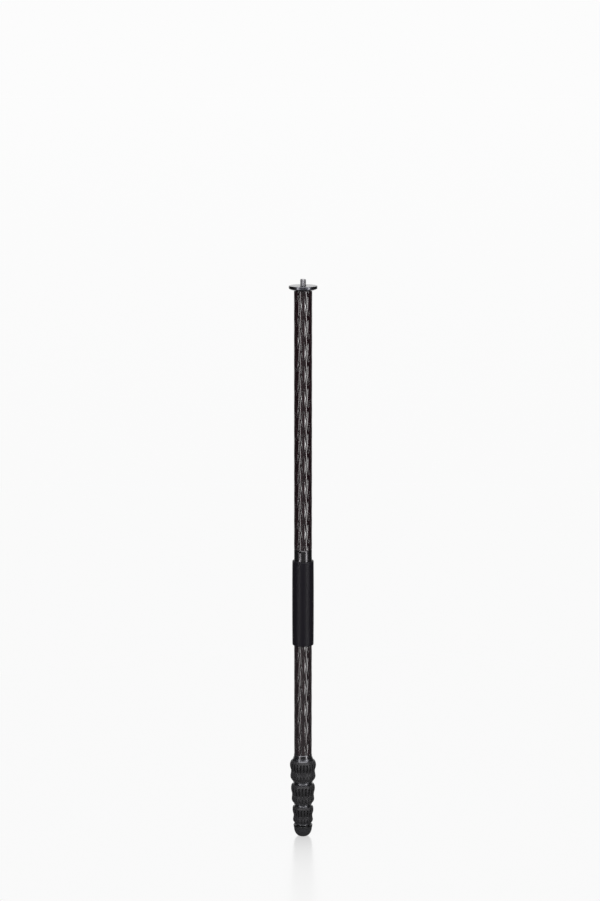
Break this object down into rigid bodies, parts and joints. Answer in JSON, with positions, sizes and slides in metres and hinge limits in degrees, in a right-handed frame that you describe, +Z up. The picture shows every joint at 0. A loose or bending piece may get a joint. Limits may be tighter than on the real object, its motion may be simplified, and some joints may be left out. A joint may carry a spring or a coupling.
{
  "type": "camera monopod",
  "caption": "Slim camera pole: a round platform with a camera stud on a tube, screwed onto a telescopic leg with a rubber grip, twist locks and a ball foot.",
  "frame": {"origin": "on the floor under the ball foot, on the pole's axis, with the pole standing upright", "axes": "+Z up along the pole towards the camera, -Y towards the camera that took the picture, +X to its right"},
  "size_m": [0.044, 0.044, 0.8895],
  "materials": {
    "stud_steel": "turned bright steel",
    "screw_steel": "black oxide on steel",
    "platform_metal": "black anodised, turned",
    "collar_metal": "black anodised, polished",
    "insert_metal": "plain turned",
    "ferrule_metal": "black anodised",
    "lock_metal": "black anodised, polished",
    "foot_metal": "black anodised",
    "carbon_tube": "lacquered woven carbon",
    "washer_plastic": "dull black",
    "collet_plastic": "dull black",
    "shim_plastic": "dull off-white",
    "seal_felt": "felt",
    "grip_rubber": "smooth soft rubber",
    "lock_rubber": "matt rubber",
    "foot_rubber": "matt rubber"
  },
  "bodies": {
    "column": {"camera_stud": "stud_steel", "top_platform": "platform_metal", "column_tube": "carbon_tube", "column_end_insert": "insert_metal"},
    "seam_washer": {"joint_washer": "washer_plastic"},
    "section_1": {"leg_top_collar": "collar_metal", "joint_stud": "stud_steel", "collar_set_screw": "screw_steel", "grip_sleeve": "grip_rubber", "leg_tube_1": "carbon_tube", "ferrule_1": "ferrule_metal"},
    "section_2": {"leg_tube_2": "carbon_tube", "anti_twist_shims_2": "shim_plastic", "ferrule_2": "ferrule_metal"},
    "section_3": {"leg_tube_3": "carbon_tube", "anti_twist_shims_3": "shim_plastic", "ferrule_3": "ferrule_metal"},
    "section_4": {"leg_tube_4": "carbon_tube", "anti_twist_shims_4": "shim_plastic", "foot_plug": "insert_metal", "foot_stud": "foot_metal", "rubber_foot": "foot_rubber"},
    "clamp_1": {"collet_1": "collet_plastic", "dust_seal_1": "seal_felt"},
    "lock_1": {"lock_nut_1": "lock_metal", "lock_grip_1": "lock_rubber"},
    "clamp_2": {"collet_2": "collet_plastic", "dust_seal_2": "seal_felt"},
    "lock_2": {"lock_nut_2": "lock_metal", "lock_grip_2": "lock_rubber"},
    "clamp_3": {"collet_3": "collet_plastic", "dust_seal_3": "seal_felt"},
    "lock_3": {"lock_nut_3": "lock_metal", "lock_grip_3": "lock_rubber"}
  },
  "joints": [
    {"name": "leg_slide_3", "type": "slide", "parent": "section_4", "child": "section_3", "axis": [0, 0, 1], "range_m": [0, 0.344]},
    {"name": "leg_slide_2", "type": "slide", "parent": "section_3", "child": "section_2", "axis": [0, 0, 1], "range_m": [0, 0.307]},
    {"name": "leg_slide_1", "type": "slide", "parent": "section_2", "child": "section_1", "axis": [0, 0, 1], "range_m": [0, 0.266]},
    {"name": "lock_advance_1", "type": "slide", "parent": "section_1", "child": "clamp_1", "axis": [0, 0, -1], "range_m": [0, 0.00067]},
    {"name": "lock_twist_1", "type": "hinge", "parent": "clamp_1", "child": "lock_1", "pos_m": [0, 0, 0.1107], "axis": [0, 0, -1], "range_deg": [0, 120]},
    {"name": "lock_advance_2", "type": "slide", "parent": "section_2", "child": "clamp_2", "axis": [0, 0, -1], "range_m": [0, 0.00067]},
    {"name": "lock_twist_2", "type": "hinge", "parent": "clamp_2", "child": "lock_2", "pos_m": [0, 0, 0.072], "axis": [0, 0, -1], "range_deg": [0, 120]},
    {"name": "lock_advance_3", "type": "slide", "parent": "section_3", "child": "clamp_3", "axis": [0, 0, -1], "range_m": [0, 0.00067]},
    {"name": "lock_twist_3", "type": "hinge", "parent": "clamp_3", "child": "lock_3", "pos_m": [0, 0, 0.037], "axis": [0, 0, -1], "range_deg": [0, 120]},
    {"name": "column_rise", "type": "slide", "parent": "section_1", "child": "seam_washer", "axis": [0, 0, 1], "range_m": [0, 0.00953]},
    {"name": "column_turn", "type": "hinge", "parent": "seam_washer", "child": "column", "pos_m": [0, 0, 0.4682], "axis": [0, 0, 1], "range_deg": [0, 2160]}
  ],
  "couplings": [
    {"joint": "lock_advance_1", "follows": "lock_twist_1", "m_per_rad": 0.00031831},
    {"joint": "lock_advance_2", "follows": "lock_twist_2", "m_per_rad": 0.00031831},
    {"joint": "lock_advance_3", "follows": "lock_twist_3", "m_per_rad": 0.00031831},
    {"joint": "column_rise", "follows": "column_turn", "m_per_rad": 0.00025266}
  ]
}
